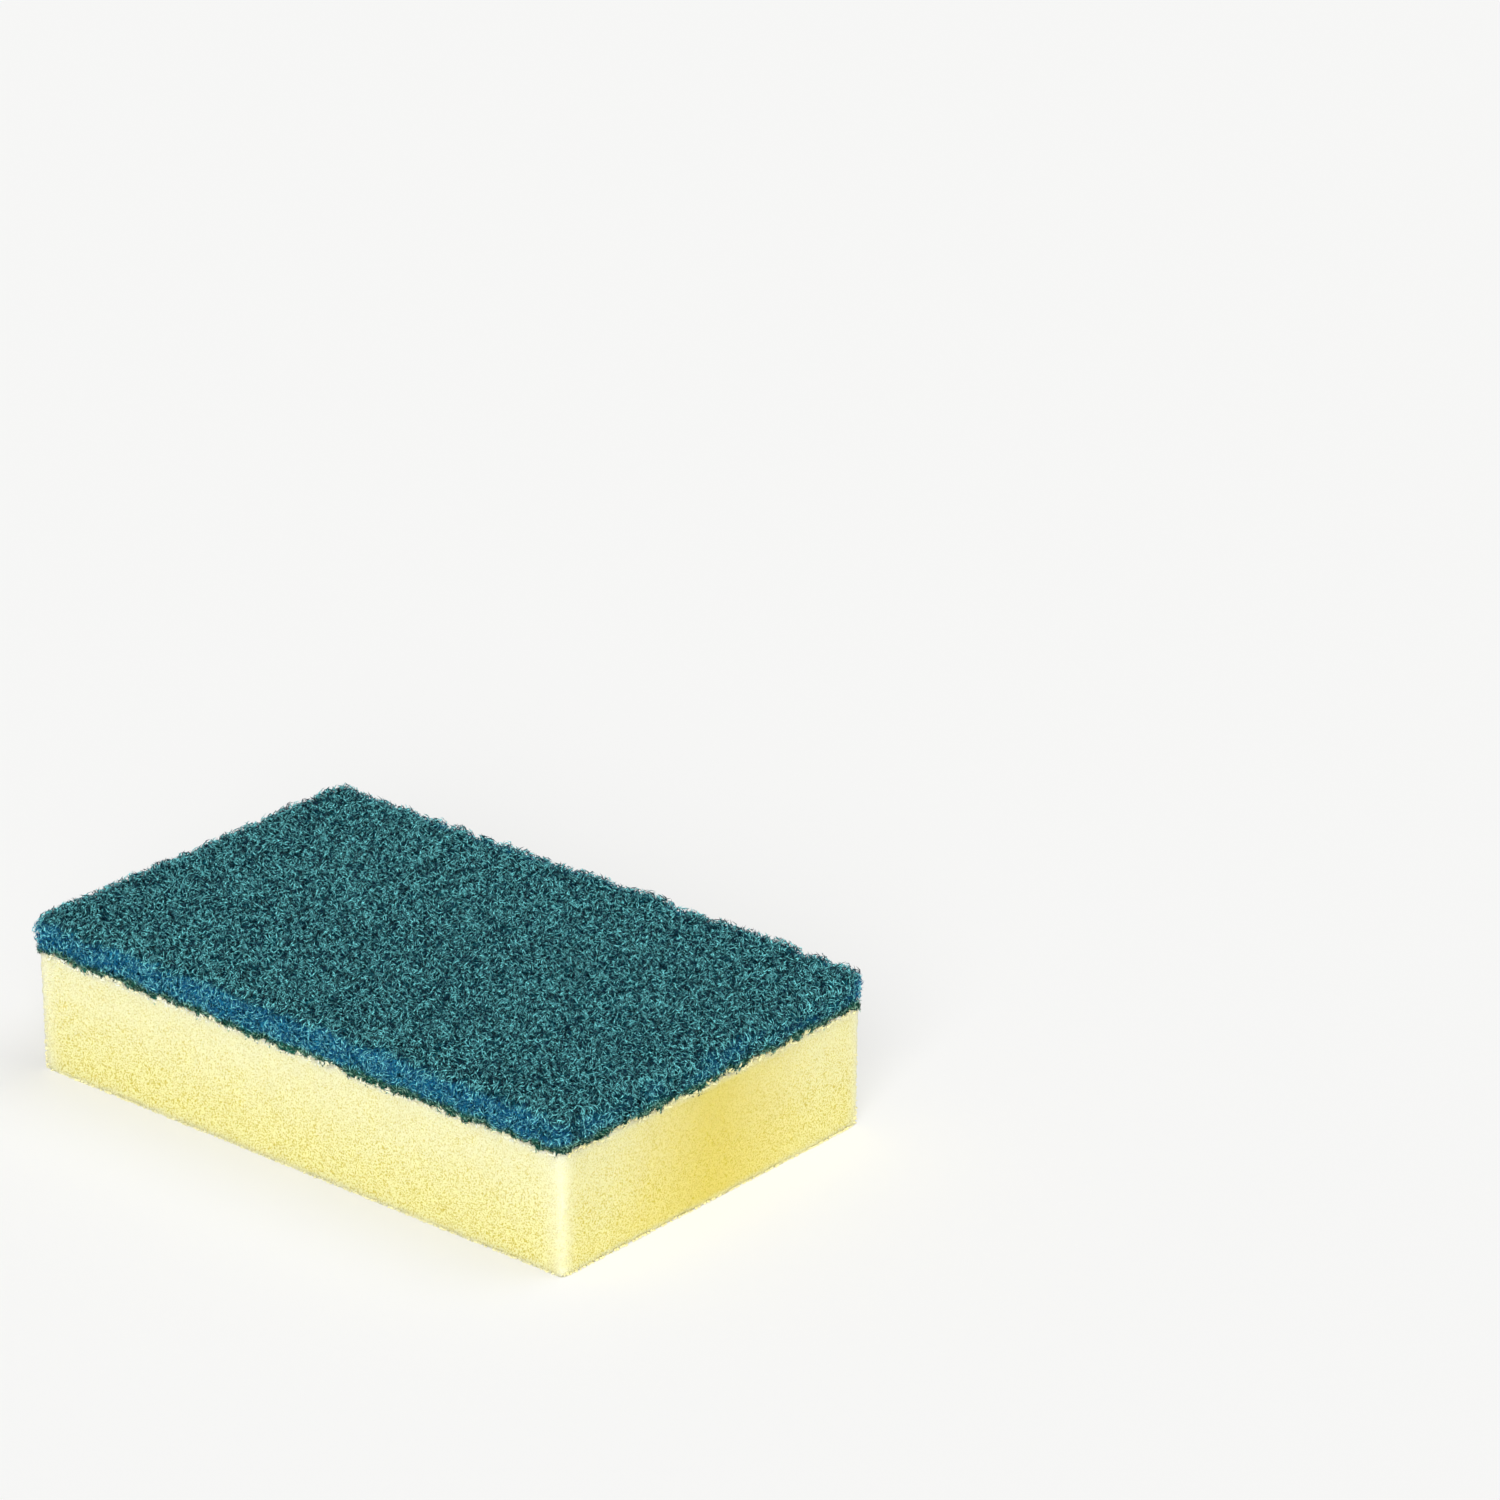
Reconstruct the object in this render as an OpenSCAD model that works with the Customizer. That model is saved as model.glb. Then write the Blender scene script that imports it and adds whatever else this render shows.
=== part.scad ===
/* [Foam block] */
// Length of the foam block
sponge_l = 110; // [80:1:160]
// Width of the foam block
sponge_w = 68; // [50:1:110]
// Height of the foam block
foam_t = 19.8; // [10:0.2:40]
// Radius of the four upright corners of the foam
foam_corner_r = 1; // [0.8:0.2:4]
// Radius of the cut edges round the top and the bottom of the foam
foam_edge_r = 0.5; // [0.4:0.1:2]

/* [Glue layer] */
// Thickness of the glue that holds the pad to the foam
glue_t = 0.3; // [0.1:0.1:0.8]
// How far the glue stops short of the foam's sides
glue_inset = 0.9; // [0.5:0.1:3]

/* [Scouring pad] */
// Thickness of the pad up to the mean level of its upper face
pad_t = 5.6; // [3.6:0.2:12]
// How far the pad stands out past the foam on every side
pad_overhang = 0.6; // [0:0.1:1.5]
// Radius of the pad's four corners in plan
pad_corner_r = 2.2; // [2:0.2:6]
// Radius that the pad's upper edge rolls over with
pad_roll_r = 1.6; // [1:0.1:3]
// How deep the cut edge of the pad is frayed
fray_depth = 0.9; // [0.2:0.1:1.2]
// Height of the broad swells in the pad's upper face
swell_h = 0.7; // [0:0.1:1.5]
// Distance from one broad swell to the next
swell_pitch = 13; // [6:1:30]
// Height of the curled ridges of fibre in the upper face
ridge_h = 0.8; // [0:0.1:1.5]
// Distance from one curled ridge to the next
ridge_pitch = 3.4; // [2.6:0.2:8]
// Depth of the rows that the needles leave along the pad
needle_row_h = 0.25; // [0:0.05:0.6]
// Distance from one needle row to the next
needle_row_pitch = 5; // [4:0.5:10]
// Size of one facet of the pad's upper face
facet = 1.4; // [1.2:0.1:3]

/* [Hidden] */
$fn = 48;

// A cut is made this much longer than the solid that it passes through
cut_extra = 1;

// Levels of the three layers
glue_z = foam_t;
pad_z = glue_z + glue_t;

// Half sizes of the pad's cut edge
pad_hx = sponge_l / 2 + pad_overhang;
pad_hy = sponge_w / 2 + pad_overhang;

// Steps that round the rolled edge, as shares of its radius
roll_steps = [0, 0.12, 0.5];
// Levels of the rings down the cut edge, as shares of its height
wall_levels = [0, 0.36, 0.7, 1];
// Width of the border in which the outline is frayed
fray_band = 2 * facet;

// Table of even random numbers from 0 to 1 that all the noise is read from
noise_size = 997;
noise_seed = 20;
noise_table = rands(0, 1, noise_size, noise_seed);

function lerp(a, b, t) = a + (b - a) * t;
function fade(t) = t * t * (3 - 2 * t);
function unit(t) = min(1, max(0, t));

// Entry n of the table, which goes round and round
function entry(n) = noise_table[(n % noise_size + noise_size) % noise_size];

// A whole number that is scattered at random for each whole number n
function scatter(n) = floor(noise_size * entry(n));

// Random value of the whole-numbered cell i, j in one layer of noise
function cell(i, j, layer) = entry(i + scatter(j + scatter(layer)));

// Smooth noise from 0 to 1 with cells one unit wide
function noise(x, y, layer) =
    let (
        i = floor(x),
        j = floor(y),
        u = fade(x - i),
        v = fade(y - j)
    )
    lerp(
        lerp(cell(i, j, layer), cell(i + 1, j, layer), u),
        lerp(cell(i, j + 1, layer), cell(i + 1, j + 1, layer), u),
        v
    );

// Curled ridge from 0 to 1 that runs where the noise passes its middle value
function ridge(x, y, layer) = 1 - unit(abs(noise(x, y, layer) - 0.5) * 4);

// Height of the upper face over its mean level, before the edge rolls over
function loft(x, y) =
    swell_h * (noise(x / swell_pitch, y / swell_pitch, 1) - 0.5)
    + ridge_h * max(
        ridge(x / ridge_pitch, y / ridge_pitch, 2),
        ridge(y / ridge_pitch, x / ridge_pitch, 3)
    )
    - ridge_h / 2
    + needle_row_h / 2 * cos(360 * y / needle_row_pitch);

// Drop of the upper face where it rolls over, at a distance from the edge
function roll_drop(from_edge) =
    let (t = 1 - unit(from_edge / pad_roll_r))
    pad_roll_r * (1 - sqrt(1 - t * t));

// Stations across one half size: close together in the roll, then even
function stations(half) =
    let (
        flat = half - pad_roll_r,
        cells = ceil(2 * flat / facet)
    )
    concat(
        [for (s = roll_steps) -half + s * pad_roll_r],
        [for (k = [0:cells]) -flat + k * 2 * flat / cells],
        [for (k = [len(roll_steps) - 1:-1:0]) half - roll_steps[k] * pad_roll_r]
    );

xs = stations(pad_hx);
ys = stations(pad_hy);
nx = len(xs);
ny = len(ys);

// Places of the grid's outer points, anticlockwise as seen from above
rim = concat(
    [for (i = [0:nx - 2]) [i, 0]],
    [for (j = [0:ny - 2]) [nx - 1, j]],
    [for (i = [nx - 1:-1:1]) [i, ny - 1]],
    [for (j = [ny - 1:-1:1]) [0, j]]
);
rim_n = len(rim);

// Moves a point of the square grid so that the corners become round in plan
function rounded(x, y) =
    let (
        cx = max(0, abs(x) - (pad_hx - pad_corner_r)) / pad_corner_r,
        cy = max(0, abs(y) - (pad_hy - pad_corner_r)) / pad_corner_r
    )
    [
        x - sign(x) * pad_corner_r * cx * (1 - sqrt(1 - cy * cy / 2)),
        y - sign(y) * pad_corner_r * cy * (1 - sqrt(1 - cx * cx / 2))
    ];

// How far the edge has frayed back at one place round it, at one level.
// It is none at all in half of the places, so that the full size is kept.
function frayed(along, layer) =
    fray_depth * max(0, 2 * cell(round(along), layer, 5) - 1);

// A point of the pad in plan, with the border pulled in where it is frayed
function pad_plan(i, j, layer) =
    let (
        x = xs[i],
        y = ys[j],
        p = rounded(x, y),
        edge_x = unit((abs(x) - pad_hx) / fray_band + 1),
        edge_y = unit((abs(y) - pad_hy) / fray_band + 1)
    )
    [
        p[0] - sign(x) * edge_x * frayed(j + (x < 0 ? 2 * nx : 0), layer),
        p[1] - sign(y) * edge_y * frayed(i + (y < 0 ? 3 * nx : nx), layer)
    ];

// A point of the upper face
function face_point(i, j) =
    let (
        p = pad_plan(i, j, 0),
        from_x = pad_hx - abs(xs[i]),
        from_y = pad_hy - abs(ys[j]),
        calm = unit(min(from_x, from_y) / pad_roll_r + 0.3)
    )
    [
        p[0],
        p[1],
        pad_z + pad_t + calm * loft(p[0], p[1])
            - min(pad_roll_r, roll_drop(from_x) + roll_drop(from_y))
    ];

// A point on a ring of the cut edge, under the rim's point m
function wall_point(m, ring) =
    let (
        i = rim[m][0],
        j = rim[m][1],
        p = pad_plan(i, j, ring)
    )
    [p[0], p[1], lerp(face_point(i, j)[2], pad_z, wall_levels[ring])];

// Rounded rectangle made of whole circles and squares
module round_rect(length, width, r) {
    square([length - 2 * r, width], center = true);
    square([length, width - 2 * r], center = true);
    for (sx = [-1, 1], sy = [-1, 1])
        translate([sx * (length / 2 - r), sy * (width / 2 - r)])
            circle(r = r);
}

// Bar along x with the cross-section of the foam, its long edges rounded
module foam_bar(length, width) {
    translate([0, 0, foam_t / 2])
        rotate([90, 0, 90])
            linear_extrude(length + 2 * cut_extra, center = true)
                round_rect(width, foam_t, foam_edge_r);
}

// Block of open-cell foam: upright corners and cut edges slightly rounded
module foam_block() {
    color("#f4eb9c")
        intersection() {
            linear_extrude(foam_t)
                round_rect(sponge_l, sponge_w, foam_corner_r);
            foam_bar(sponge_l, sponge_w);
            rotate([0, 0, 90])
                foam_bar(sponge_w, sponge_l);
        }
}

// Thin film of glue, a little smaller than the foam's upper face
module glue_layer() {
    color("#5f6b32")
        translate([0, 0, glue_z])
            linear_extrude(glue_t)
                round_rect(sponge_l - 2 * glue_inset, sponge_w - 2 * glue_inset, foam_corner_r);
}

// Web of resin-bonded fibre: lofty upper face, rolled upper edge, frayed cut edge
module scouring_pad() {
    rings = len(wall_levels);
    face_n = nx * ny;
    points = concat(
        [for (j = [0:ny - 1], i = [0:nx - 1]) face_point(i, j)],
        [for (ring = [1:rings - 1], m = [0:rim_n - 1]) wall_point(m, ring)]
    );
    // Number of the point m round ring, where ring 0 is the rim of the upper face
    function at(m, ring) =
        let (k = m % rim_n)
        ring == 0 ? rim[k][1] * nx + rim[k][0] : face_n + (ring - 1) * rim_n + k;
    // The two facets of one square of the face. Neighbours are split along
    // opposite diagonals, so that the ridges have no slant of their own.
    function split_square(i, j) =
        let (
            a = j * nx + i,
            b = a + 1,
            c = b + nx,
            d = a + nx
        )
        (i + j) % 2 == 0 ? [[a, d, b], [b, d, c]] : [[a, d, c], [a, c, b]];
    faces = concat(
        [for (j = [0:ny - 2], i = [0:nx - 2]) each split_square(i, j)],
        [for (ring = [0:rings - 2], m = [0:rim_n - 1])
            [at(m, ring), at(m + 1, ring), at(m, ring + 1)]],
        [for (ring = [0:rings - 2], m = [0:rim_n - 1])
            [at(m + 1, ring), at(m + 1, ring + 1), at(m, ring + 1)]],
        [[for (m = [0:rim_n - 1]) at(m, rings - 1)]]
    );
    color("#1f5f66")
        polyhedron(points = points, faces = faces);
}

foam_block();
glue_layer();
scouring_pad();
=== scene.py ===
"""Cleaning sponge: a block of knife-cut foam with a scouring pad of bonded fibre glued over it.

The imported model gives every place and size. The foam and the pad are soft, so each is built
here again in full detail inside its own box, and the glue between them keeps its own mesh.
Lengths are metres in Blender. Sizes written in millimetres are turned by MM.
"""

import logging
import math
from dataclasses import dataclass, field
from enum import Enum
from typing import Sequence
import bmesh  # noqa: E402
import bpy  # noqa: E402
import numpy as np  # noqa: E402
from mathutils import Matrix, Quaternion, Vector, noise  # noqa: E402
from mathutils.bvhtree import BVHTree  # noqa: E402


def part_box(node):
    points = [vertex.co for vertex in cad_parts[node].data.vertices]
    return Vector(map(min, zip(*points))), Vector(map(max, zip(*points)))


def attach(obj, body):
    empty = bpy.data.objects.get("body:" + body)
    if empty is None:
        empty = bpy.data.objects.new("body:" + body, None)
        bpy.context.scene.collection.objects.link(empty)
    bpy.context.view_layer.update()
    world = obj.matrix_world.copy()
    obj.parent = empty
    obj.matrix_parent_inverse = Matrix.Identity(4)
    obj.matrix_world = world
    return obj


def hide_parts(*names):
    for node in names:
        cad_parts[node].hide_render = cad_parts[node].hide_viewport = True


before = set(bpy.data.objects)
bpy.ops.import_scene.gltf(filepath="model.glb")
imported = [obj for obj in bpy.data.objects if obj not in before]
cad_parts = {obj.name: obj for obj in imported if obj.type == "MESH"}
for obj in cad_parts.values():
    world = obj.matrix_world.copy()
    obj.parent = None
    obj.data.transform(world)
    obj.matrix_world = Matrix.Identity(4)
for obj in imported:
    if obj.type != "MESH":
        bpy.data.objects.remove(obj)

LOG = logging.getLogger("cleaning_sponge")
MM = 0.001
BODY = "root"

# Noises that are summed: each has a pitch in metres, a height and its layer number
NoiseLayers = tuple[tuple[float, float, int], ...]

# The ragged seam, where torn foam and hanging fibres meet
SEAM_HEIGHT = 1.15 * MM
SEAM_LIFT = 0.15
SEAM_LAYERS: NoiseLayers = ((2.2 * MM, 0.8, 7), (1.0 * MM, 0.9, 12), (0.5 * MM, 0.5, 14))

# A face that lies against the glue keeps its small squares only this far in from its border
GLUED_BORDER = 3.0 * MM

# Blender's types that the hints name most
BMesh = bmesh.types.BMesh
Material = bpy.types.Material
Mesh = bpy.types.Mesh
Object = bpy.types.Object
Socket = bpy.types.NodeSocket
Tree = bpy.types.NodeTree

# A Mix node has sockets of the same name for each type, so colours go in and out by number
COLOUR_MIX = {"output": 2, "data_type": "RGBA"}


def linear_rgba(hex_value: str) -> tuple[float, float, float, float]:
    """Turns an sRGB hex colour into the linear RGBA that shader sockets hold.

    Args:
        hex_value: A colour such as "#1f5f66".

    Returns:
        Linear red, green and blue, and an alpha of 1.
    """
    digits = hex_value.lstrip("#")
    parts = [int(digits[i : i + 2], 16) / 255 for i in (0, 2, 4)]
    linear = [c / 12.92 if c <= 0.04045 else ((c + 0.055) / 1.055) ** 2.4 for c in parts]
    return (linear[0], linear[1], linear[2], 1.0)


def add_node(
    tree: Tree,
    kind: str,
    inputs: dict[str | int, object] | None = None,
    output: str | int = 0,
    **settings: object,
) -> Socket | None:
    """Adds a node, sets its properties, and fills or links its input sockets.

    Args:
        tree: The node tree that gets the node.
        kind: The node's type name, such as "ShaderNodeBump".
        inputs: Socket name or number, and the value or the output socket that feeds it.
        output: The name or number of the output socket that is wanted.
        **settings: Properties of the node itself.

    Returns:
        That output socket, or None if the node has no outputs.
    """
    node = tree.nodes.new(kind)
    for name, value in settings.items():
        setattr(node, name, value)
    for key, value in (inputs or {}).items():
        if isinstance(value, Socket):
            tree.links.new(value, node.inputs[key])
        else:
            node.inputs[key].default_value = value
    return node.outputs[output] if node.outputs else None


def new_material(name: str) -> tuple[Material, Tree]:
    """Makes an empty node material.

    Args:
        name: The material's name.

    Returns:
        The material and its node tree.
    """
    material = bpy.data.materials.new(name)
    material.use_nodes = True
    material.node_tree.nodes.clear()
    return material, material.node_tree


def smoothstep(low: float, high: float, value: float) -> float:
    """Rises smoothly from 0 at low to 1 at high, or falls if low is above high."""
    t = min(1.0, max(0.0, (value - low) / (high - low)))
    return t * t * (3 - 2 * t)


def scaled_noise(point: Vector, pitch: float, layer: int = 0) -> float:
    """Reads a smooth noise that runs from about -1 to 1.

    Args:
        point: Where it is read, in metres.
        pitch: The size of one lump, in metres.
        layer: A whole number for each independent noise.

    Returns:
        The noise there.
    """
    return noise.noise(point / pitch + Vector((37.1 * layer, 11.7 * layer, 5.3 * layer)))


def summed_noise(point: Vector, layers: NoiseLayers, start: float = 0.0) -> float:
    """Adds up noises of several pitches.

    Args:
        point: Where they are read, in metres.
        layers: The noises.
        start: What they are added to.

    Returns:
        The sum at that point.
    """
    total = start
    for pitch, height, layer in layers:
        total += height * scaled_noise(point, pitch, layer)
    return total


def seam_rise(x: float, y: float, z: float) -> float:
    """Says how far the ragged seam lies above its mean level at a point, in metres."""
    return SEAM_HEIGHT * summed_noise(Vector((x, y, z)), SEAM_LAYERS, SEAM_LIFT)


class Slot(Enum):
    """The record's material slots."""

    FOAM = "foam"
    GLUE = "glue"
    FIBRE_WEB = "fibre_web"


class PadZone(Enum):
    """The parts of the scouring pad that fibres are laid on."""

    FACE = "face"
    CUT_EDGE = "edge"
    FOOT = "foot"


class GluedSide(Enum):
    """The side of a block that lies hidden against the glue."""

    TOP = 1
    BOTTOM = -1


@dataclass(frozen=True)
class Box:
    """An upright box in the row frame, in metres."""

    low: Vector
    high: Vector

    @classmethod
    def of_node(cls, node: str) -> "Box":
        """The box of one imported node."""
        return cls(*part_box(node))

    @property
    def size(self) -> Vector:
        """Its length, width and height."""
        return self.high - self.low

    @property
    def middle(self) -> Vector:
        """Its centre."""
        return (self.high + self.low) / 2

    def shrunk(self, side: float, top: float = 0.0, bottom: float = 0.0) -> "Box":
        """The same box with its walls moved in.

        Args:
            side: How far each of the four sides moves in.
            top: How far the top moves down.
            bottom: How far the bottom moves up.

        Returns:
            The smaller box.
        """
        return Box(
            self.low + Vector((side, side, bottom)),
            self.high - Vector((side, side, top)),
        )


@dataclass(frozen=True)
class KnifeCutFoam:
    """Open-cell polyurethane foam, dyed yellow and cut with an oscillating blade.

    The cells are cut open, so the surface is matt and finely pitted, and light goes some
    millimetres in. Its colour paints a pale glow on the corners, the foot and the lip, and shade
    in the pits of the cells, towards the foot and on the end faces. A cut cell shows as a pit
    about a third of a millimetre wide, with finer grit of torn walls in it, and the dye lies in
    clouds some millimetres wide.
    """

    wall: str = "#fffac8"
    # Painted shade towards the foot, which the dye's clouds break up
    deep: str = "#fff8b4"
    # Painted shade in the pits of the cut cells
    pit_shade: str = "#d6c448"
    # A painted glow, pale at the corners, the foot and the lip
    thin: str = "#fffad6"
    # Painted shade on the end faces, deepening away from the corners
    end_face_shade: str = "#ead972"
    cell_mm: float = 0.34
    grit_mm: float = 0.238
    cloud_mm: float = 3.0
    cloudiness: float = 0.8
    relief_mm: float = 0.3
    scatter_mm: float = 2.5
    height_mm: float = 19.8
    cell_border: tuple[float, float] = (0.28, 0.62)
    grit_range: tuple[float, float] = (0.42, 0.6)
    least_pit_shade: float = 0.6
    pit_shade_at_foot: float = 0.55

    def material(self) -> Material:
        """Builds the foam's material.

        Returns:
            The new material.
        """
        material, tree = new_material("knife_cut_polyurethane_foam")
        place = add_node(tree, "ShaderNodeTexCoord", output="Object")
        cells = add_node(
            tree,
            "ShaderNodeTexVoronoi",
            {"Vector": place, "Scale": 1 / (self.cell_mm * MM)},
            output="Distance",
        )
        grit = add_node(
            tree,
            "ShaderNodeTexNoise",
            {"Vector": place, "Scale": 1 / (self.grit_mm * MM), "Detail": 2.0, "Roughness": 0.6},
            output="Fac",
        )
        low_down = self._foot_shade_and_clouds(tree, place)
        # Painted light and shade over the wall colour: shade towards the foot with the dye's clouds, shade
        # on the end faces, shade in the cells' pits, and a pale painted glow at the corners, the foot and
        # the lip
        layers = (
            (low_down, self.deep),
            (add_node(tree, "ShaderNodeAttribute", output="Fac", attribute_name="end_shade"), self.end_face_shade),
            (self._pit_shades(tree, cells, grit, low_down), self.pit_shade),
            (add_node(tree, "ShaderNodeAttribute", output="Fac", attribute_name="thin"), self.thin),
        )
        colour = linear_rgba(self.wall)
        for share, tone in layers:
            colour = add_node(
                tree, "ShaderNodeMix", {0: share, 6: colour, 7: linear_rgba(tone)}, **COLOUR_MIX
            )
        relief = add_node(tree, "ShaderNodeMath", {0: cells, 1: grit}, operation="ADD")
        bump = add_node(
            tree, "ShaderNodeBump", {"Strength": 0.7, "Distance": self.relief_mm * MM, "Height": relief}
        )
        shader = add_node(
            tree,
            "ShaderNodeBsdfPrincipled",
            {
                "Base Color": colour,
                "Roughness": 0.95,
                "IOR": 1.45,
                "Specular IOR Level": 0.15,
                "Subsurface Weight": 0.75,
                "Subsurface Radius": (1.0, 0.95, 0.7),
                "Subsurface Scale": self.scatter_mm * MM,
                "Normal": bump,
            },
        )
        add_node(tree, "ShaderNodeOutputMaterial", {"Surface": shader})
        return material

    def _foot_shade_and_clouds(self, tree: Tree, place: Socket) -> Socket:
        """Finds how deep the tone of the walls is: more towards the foot, and cloudy all over.

        Args:
            tree: The node tree.
            place: The socket of Object coordinates.

        Returns:
            The socket of the painted shade and the clouds, from 0 to 1.
        """
        height = add_node(tree, "ShaderNodeSeparateXYZ", {"Vector": place}, output="Z")
        # Painted shade: more of it towards the foot
        falling = add_node(
            tree,
            "ShaderNodeMapRange",
            {"Value": height, "From Min": self.height_mm * MM, "From Max": 0.0},
            interpolation_type="SMOOTHSTEP",
        )
        clouds = add_node(
            tree,
            "ShaderNodeTexNoise",
            {"Vector": place, "Scale": 1 / (self.cloud_mm * MM), "Detail": 4.0, "Roughness": 0.6},
            output="Fac",
        )
        cloudy = add_node(
            tree,
            "ShaderNodeMath",
            {0: clouds, 1: self.cloudiness, 2: -self.cloudiness / 2},
            operation="MULTIPLY_ADD",
        )
        return add_node(tree, "ShaderNodeMath", {0: falling, 1: cloudy}, operation="ADD", use_clamp=True)

    def _pit_shades(
        self,
        tree: Tree,
        cells: Socket,
        grit: Socket,
        low_down: Socket,
    ) -> Socket:
        """Finds the painted shade in the pits of the cut cells, which is strongest towards the foot.

        Args:
            tree: The node tree.
            cells: The socket of the distance from a cell's middle.
            grit: The socket of a finer noise, which breaks the cells up.
            low_down: The socket of the painted shade towards the foot, with the dye's clouds.

        Returns:
            The socket of how much painted shade a pit gets.
        """
        found = add_node(
            tree,
            "ShaderNodeMath",
            {0: low_down, 1: self.pit_shade_at_foot, 2: self.least_pit_shade},
            operation="MULTIPLY_ADD",
        )
        for pattern, (least, most) in ((cells, self.cell_border), (grit, self.grit_range)):
            part = add_node(
                tree,
                "ShaderNodeMapRange",
                {"Value": pattern, "From Min": least, "From Max": most},
                interpolation_type="SMOOTHSTEP",
            )
            found = add_node(tree, "ShaderNodeMath", {0: found, 1: part}, operation="MULTIPLY")
        return found


@dataclass(frozen=True)
class TornCellWalls:
    """Single walls of foam cells that the blade tore, whose tint paints them near white at the seam as a
    highlight, and in shade on the short sides.
    """

    wall: str = "#fff6b4"
    # A near-white painted highlight
    seam_highlight: str = "#fcfff0"

    def material(self) -> Material:
        """Builds the material of the torn walls.

        Returns:
            The new material.
        """
        material, tree = new_material("torn_foam_cell_walls")
        tint = add_node(tree, "ShaderNodeAttribute", output="Fac", attribute_name="tint")
        colour = add_node(
            tree,
            "ShaderNodeMix",
            {0: tint, 6: linear_rgba(self.wall), 7: linear_rgba(self.seam_highlight)},
            **COLOUR_MIX,
        )
        shader = add_node(
            tree,
            "ShaderNodeBsdfPrincipled",
            {"Base Color": colour, "Roughness": 0.9, "Specular IOR Level": 0.2},
        )
        add_node(tree, "ShaderNodeOutputMaterial", {"Surface": shader})
        return material


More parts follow.
